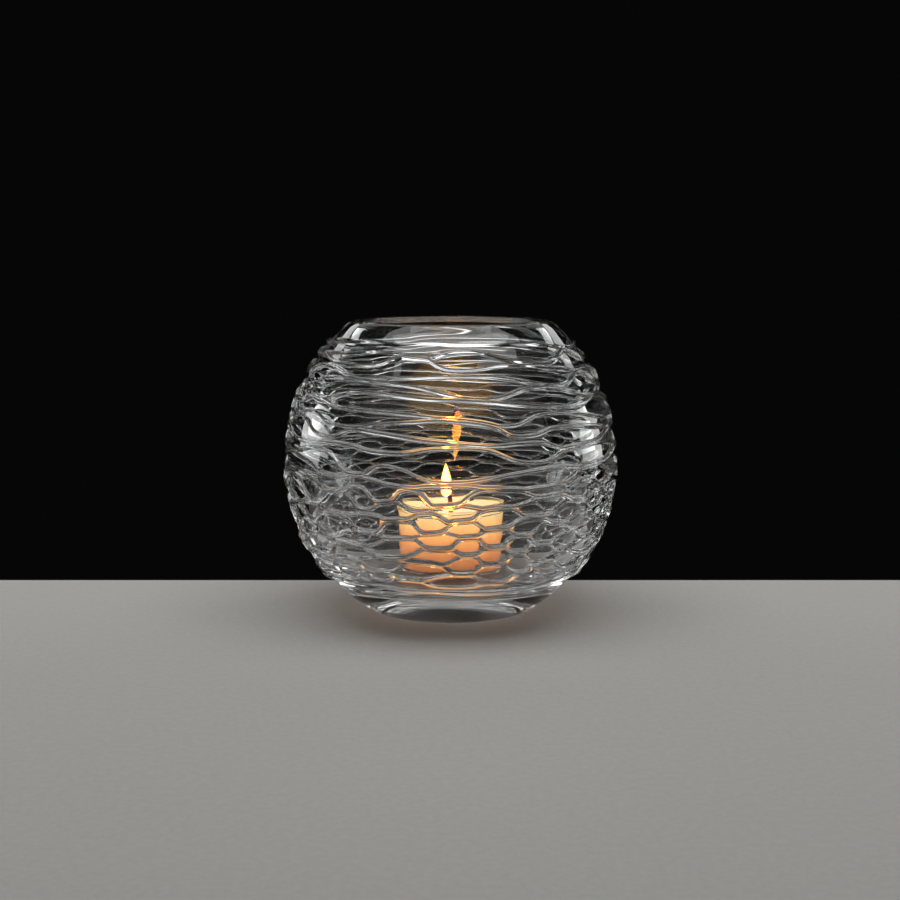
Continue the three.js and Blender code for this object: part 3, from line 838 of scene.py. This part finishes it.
def above_floor(corners):
    """Rounds a line of corners whose heights are above the floor of the bowl."""
    return rounded([(r, z + FLOOR_HEIGHT, size) for r, z, size in corners])


def cup_inside(height):
    """Radius inside the cup's wall at a height."""
    return CUP_FOOT_RADIUS + (CUP_RADIUS - CUP_FOOT_RADIUS) * height / CUP_HEIGHT - CUP_WALL


def tealight_cup(material):
    """Thin moulded cup with a hollow foot, a beaded lip and a ring on its floor for the sustainer."""
    lip_foot = CUP_HEIGHT - LIP_HEIGHT
    seat_inside = SUSTAINER_RADIUS + SEAT_GAP
    seat_outside = seat_inside + SEAT_WIDTH
    seat_top = CUP_INSIDE_FLOOR + SEAT_HEIGHT
    line = above_floor(
        [
            (0, CUP_HOLLOW, 0),
            (CUP_FOOT_RADIUS - CUP_STAND - CUP_HOLLOW, CUP_HOLLOW, 0.4),
            (CUP_FOOT_RADIUS - CUP_STAND, 0, 0.3),
            (CUP_FOOT_RADIUS, 0, 1.1),
            (cup_inside(lip_foot) + CUP_WALL, lip_foot - LIP_SLOPE, 0.25),
            (LIP_RADIUS, lip_foot, 0.25),
            (LIP_RADIUS, CUP_HEIGHT, 0.5),
            (cup_inside(CUP_HEIGHT), CUP_HEIGHT, 0.35),
            (cup_inside(CUP_INSIDE_FLOOR), CUP_INSIDE_FLOOR, 1.1),
            (seat_outside, CUP_INSIDE_FLOOR, 0.2),
            (seat_outside, seat_top, 0.2),
            (seat_inside, seat_top, 0.2),
            (seat_inside, CUP_INSIDE_FLOOR, 0.2),
            (0, CUP_INSIDE_FLOOR, 0),
        ]
    )
    return turned("clear_tealight_cup", line, TEALIGHT_SIDES, material)


def wax_fill(material):
    """Poured wax: it climbs the cup's wall a little, and has melted to a shallow pool round the wick."""
    bottom = CUP_INSIDE_FLOOR + WAX_GAP
    neck_top = CUP_INSIDE_FLOOR + NECK_HEIGHT + WAX_GAP
    seat_outside = SUSTAINER_RADIUS + SEAT_GAP + SEAT_WIDTH + WAX_GAP
    seat_top = CUP_INSIDE_FLOOR + SEAT_HEIGHT + WAX_GAP
    edge = cup_inside(WAX_TOP) + WAX_GRIP
    line = above_floor(
        [
            (seat_outside, bottom, 0.1),
            (cup_inside(bottom) + WAX_GRIP, bottom, 1.2),
            (edge, WAX_TOP + MENISCUS_RISE, 0.05),
            (edge - MENISCUS_WIDTH / 3, WAX_TOP + MENISCUS_RISE / 3, 0.35),
            (edge - MENISCUS_WIDTH, WAX_TOP, 0.5),
            (POOL_RADIUS, WAX_TOP, 1.5),
            (POOL_RADIUS / 2, WAX_TOP - POOL_DEPTH, 0.6),
            (NECK_BORE, WAX_TOP - 0.9 * POOL_DEPTH, 0.1),
            (NECK_BORE, neck_top, 0.1),
            (NECK_RADIUS + WAX_GAP, neck_top, 0.1),
            (NECK_RADIUS + WAX_GAP, CUP_INSIDE_FLOOR + FLARE_HEIGHT, 0.3),
            (NECK_RADIUS + FLARE_WIDTH, seat_top, 0.3),
            (seat_outside, seat_top, 0.1),
        ]
    )
    return turned("poured_wax", line, TEALIGHT_SIDES, material)


def wick_sustainer(material):
    """Stamped disc with a drawn neck that is crimped on to the wick in four places."""
    sheet_top = CUP_INSIDE_FLOOR + SUSTAINER_SHEET
    line = above_floor(
        [
            (NECK_BORE, CUP_INSIDE_FLOOR, 0.15),
            (SUSTAINER_RADIUS, CUP_INSIDE_FLOOR, 0.12),
            (SUSTAINER_RADIUS, sheet_top, 0.12),
            (NECK_RADIUS, sheet_top, 0.8),
            (NECK_RADIUS, CUP_INSIDE_FLOOR + NECK_HEIGHT, 0.12),
            (NECK_BORE, CUP_INSIDE_FLOOR + NECK_HEIGHT, 0.12),
        ]
    )
    piece = turned("stamped_sustainer", line, SUSTAINER_SIDES, material)
    points = np.array([v.co for v in piece.data.vertices]) / MM
    height = points[:, 2] - FLOOR_HEIGHT - CUP_INSIDE_FLOOR
    radius = np.hypot(points[:, 0], points[:, 1])
    angle = np.arctan2(points[:, 1], points[:, 0])
    crimp = np.cos(CRIMPS / 2 * angle) ** CRIMP_SHARPNESS * smooth_step((height - CRIMP_FADE) / CRIMP_FADE)
    crimp = crimp * np.exp(-((height - CRIMP_HEIGHT) / CRIMP_LENGTH) ** 2)
    crimp = crimp * (radius < NECK_RADIUS + CRIMP_REACH)
    points[:, :2] *= (1 - CRIMP_DEPTH * crimp / np.maximum(radius, 1))[:, None]
    piece.data.vertices.foreach_set("co", (points * MM).astype(np.float32).ravel())
    piece.data.update()
    return piece


def braid_tree():
    """Winds strands round a path, so that they lie against each other as a braid."""
    tree, given = new_tree(
        "braided_wick",
        {
            "Strands": "Int",
            "Strand radius": "Float",
            "Braid radius": "Float",
            "Pitch": "Float",
            "Cotton": "Material",
        },
    )
    path = add(tree, "GeometryNodeMeshToCurve", {"Mesh": given["Geometry"]})
    fine = add(tree, "GeometryNodeResampleCurve", {"Curve": path, "Count": STRAND_POINTS})
    copies = add(
        tree, "GeometryNodeDuplicateElements", {"Geometry": fine, "Amount": given["Strands"]}, domain="SPLINE"
    )
    along = add(tree, "GeometryNodeSplineParameter").outputs["Length"]
    wound = add(tree, "ShaderNodeMath", {0: along, 1: given["Pitch"]}, operation="DIVIDE")
    share = add(
        tree,
        "ShaderNodeMath",
        {0: copies.outputs["Duplicate Index"], 1: given["Strands"]},
        operation="DIVIDE",
    )
    turn = add(tree, "ShaderNodeMath", {0: wound, 1: share}, operation="ADD")
    angle = add(tree, "ShaderNodeMath", {0: turn, 1: FULL_TURN}, operation="MULTIPLY")
    across = add(tree, "ShaderNodeMath", {0: angle}, operation="COSINE")
    deep = add(tree, "ShaderNodeMath", {0: angle}, operation="SINE")
    aside = add(tree, "ShaderNodeCombineXYZ", {"X": across, "Y": deep})
    offset = add(tree, "ShaderNodeVectorMath", {0: aside, "Scale": given["Braid radius"]}, operation="SCALE")
    strands = add(
        tree, "GeometryNodeSetPosition", {"Geometry": copies.outputs["Geometry"], "Offset": offset.outputs[0]}
    )
    ring = add(
        tree,
        "GeometryNodeCurvePrimitiveCircle",
        {"Resolution": STRAND_SIDES, "Radius": given["Strand radius"]},
    )
    tube = add(
        tree,
        "GeometryNodeCurveToMesh",
        {"Curve": strands, "Profile Curve": ring.outputs["Curve"], "Fill Caps": True},
    )
    return close_tree(tree, tube, given["Cotton"])


def braided_wick(material):
    """Straight through the neck and the wax, then bent over to the left as a burning wick is."""
    heights = np.linspace(CUP_INSIDE_FLOOR, WAX_TOP + WICK_STANDS - WICK_TRIM, WICK_POINTS)
    bent = np.clip((heights - WAX_TOP) / WICK_STANDS, 0, 1)
    points = np.stack([-WICK_LEAN * bent ** WICK_BEND, 0 * heights, heights + FLOOR_HEIGHT], 1)
    piece = mesh_object("braided_wick", points, [], [(i, i + 1) for i in range(len(points) - 1)])
    return settle(
        piece,
        braid_tree(),
        **{
            "Strands": STRANDS,
            "Strand radius": STRAND_RADIUS * MM,
            "Braid radius": BRAID_RADIUS * MM,
            "Pitch": BRAID_PITCH * MM,
            "Cotton": material,
        },
    )


def flame(name, size, material):
    """A still candle flame: a drop with its belly low down, standing on the bent tip of the wick."""
    share = np.linspace(0, 1, FLAME_POINTS)
    belly = np.sin(math.pi * share ** FLAME_BELLY) ** FLAME_FULLNESS * (1 - FLAME_TAPER * share)
    belly = belly / belly.max() * FLAME_RADIUS * size
    tall = 0.9 + 0.1 * size  # a slimmer flame inside is nearly as tall
    height = FLAME_BASE + (FLAME_TOP - FLAME_BASE) * (0.5 + (share - 0.5) * tall)
    line = np.stack([belly, height + FLOOR_HEIGHT], 1)
    line[0, 0] = line[-1, 0] = 0
    piece = turned(name, line, FLAME_SIDES, material)
    points = np.array([v.co for v in piece.data.vertices])
    climb = (points[:, 2] / MM - FLOOR_HEIGHT - FLAME_BASE) / (FLAME_TOP - FLAME_BASE)
    points[:, 0] -= (WICK_LEAN + FLAME_LEAN * climb) * MM
    piece.data.vertices.foreach_set("co", points.astype(np.float32).ravel())
    piece.data.update()
    return piece


def keep(piece, body, nodes=()):
    """Puts a piece on its body, in the place of CAD nodes."""
    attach(piece, body)
    if nodes:
        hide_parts(*nodes)


keep(glass_bowl(clear_glass()), "holder", ["glass_bowl", "glass_trail"])
keep(tealight_cup(clear_plastic()), "tealight", ["tealight_cup"])
keep(wax_fill(paraffin_wax()), "tealight", ["wax_fill"])
keep(wick_sustainer(tinplate()), "tealight", ["wick_sustainer"])
keep(braided_wick(cotton()), "tealight", ["wick"])
core_glow = flame_glow("burning_vapour", strength=50.0, opacity=1.0, stops=CORE_STOPS)
keep(flame("flame_core", CORE_SIZE, core_glow), "tealight")
mantle_glow = flame_glow("flame_mantle_glow", strength=2.2, opacity=0.35, stops=MANTLE_STOPS)
keep(flame("flame_mantle", 1.0, mantle_glow), "tealight")


# Stage, light and camera

def table():
    """A pale table top whose back edge lies a little way behind the object's foot."""
    half_width, front, back, thick, edge = 900.0, -1200.0, 37.0, 18.0, 2.0
    gap = 0.05  # keeps the foot's underside clear of the table
    line = [
        (front, -thick), (front, -gap), (back - edge, -gap), (back - 0.3 * edge, -gap - 0.3 * edge),
        (back, -gap - edge), (back, -thick),
    ]
    points = [(x, y, z) for x in (-half_width, half_width) for y, z in line]
    count = len(line)
    faces = [(i, (i + 1) % count, count + (i + 1) % count, count + i) for i in range(count)]
    faces += [tuple(range(count))[::-1], tuple(range(count, 2 * count))]
    top = mesh_object("table_top", points, faces)
    top.data.polygons.foreach_set("use_smooth", [False] * len(top.data.polygons))
    top.data.materials.append(table_card())


def softbox(name, place, size, radiance):
    """A soft, even panel of light of this size in metres, turned to the middle of the object."""
    lamp = bpy.data.lights.new(name, "AREA")
    lamp.shape = "RECTANGLE"
    lamp.size, lamp.size_y = size
    lamp.energy = radiance * math.pi * size[0] * size[1]
    panel = bpy.data.objects.new(name, lamp)
    bpy.context.scene.collection.objects.link(panel)
    panel.location = place
    middle = Vector((0, 0, LIT_HEIGHT * MM))
    panel.rotation_euler = (middle - Vector(place)).to_track_quat("-Z", "Y").to_euler()


table()
softbox("left_panel", (-0.5, 0.2, 0.085), (0.26, 0.13), 3.3)
softbox("right_panel", (0.5, 0.2, 0.085), (0.26, 0.13), 3.3)
softbox("left_strip", (-0.4, 0.45, 0.36), (0.3, 0.09), 2.3)
softbox("right_strip", (0.4, 0.45, 0.36), (0.3, 0.09), 2.3)
softbox("back_panel", (0.0, 0.42, 0.47), (0.7, 0.2), 0.4)
softbox("top_panel", (0.0, -0.05, 0.65), (0.85, 0.4), 1.8)

scene = bpy.context.scene
world = bpy.data.worlds.new("dark_studio")
world.use_nodes = True
world.node_tree.nodes["Background"].inputs["Color"].default_value = linear("#060606")
scene.world = world
scene.view_settings.view_transform = "Standard"
scene.cycles.max_bounces = 24
scene.cycles.transmission_bounces = 24
scene.cycles.glossy_bounces = 12
scene.cycles.transparent_max_bounces = 16

camera = bpy.data.cameras.new("camera")
camera.lens = CAMERA_LENS
camera.sensor_width = CAMERA_SENSOR
viewer = bpy.data.objects.new("camera", camera)
viewer.location = [place * MM for place in CAMERA_PLACE]
viewer.rotation_euler = (math.radians(90 - CAMERA_PITCH), 0, 0)
scene.collection.objects.link(viewer)
scene.camera = viewer
